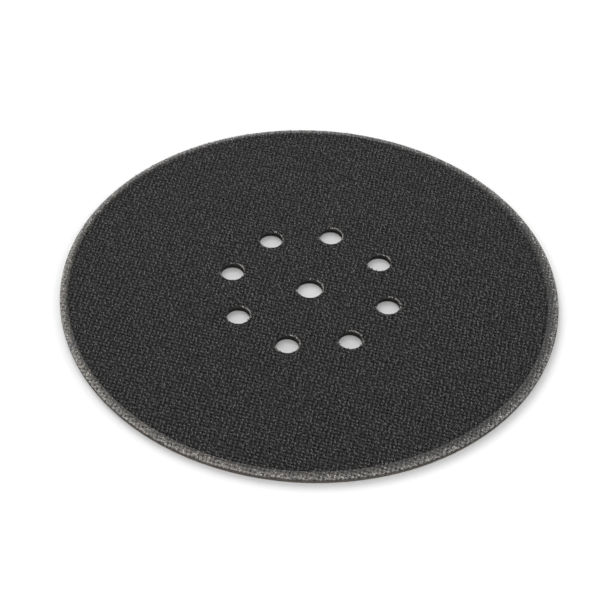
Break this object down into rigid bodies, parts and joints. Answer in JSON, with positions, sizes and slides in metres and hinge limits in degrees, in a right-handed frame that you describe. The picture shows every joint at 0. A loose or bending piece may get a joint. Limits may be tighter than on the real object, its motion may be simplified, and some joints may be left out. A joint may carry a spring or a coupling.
{
  "type": "hook-and-loop sanding pad",
  "caption": "Thin round sanding pad: woven hook face with a pressed rim, elastic core and brushed loop back, with a centre hole and a ring of dust holes.",
  "frame": {"origin": "centre of the lower (loop) face, on the pad's axis", "axes": "+Z along the pad's axis, out of the hook face; the first dust hole lies on +X"},
  "size_m": [0.215, 0.215, 0.003],
  "materials": {
    "hooks": "black nylon monofilament hooks, slight gloss",
    "pressed_hooks": "heat-pressed hooks, smooth grey-black sheen",
    "ground_cloth": "black woven ground, pale where it is cut",
    "backcoat": "matt resin coat",
    "bond_film": "translucent hot-melt film",
    "carrier": "matt brown-black elastomer",
    "loop_knit": "black knit",
    "loop_nap": "brushed black loops"
  },
  "bodies": {
    "root": {"loop_nap": "loop_nap", "loop_ground": "loop_knit", "lower_bond_film": "bond_film", "carrier_disc": "carrier", "upper_bond_film": "bond_film", "resin_backcoat": "backcoat", "ground_weave": "ground_cloth", "hook_pile": "hooks", "sealed_rim": "pressed_hooks"}
  },
  "joints": []
}
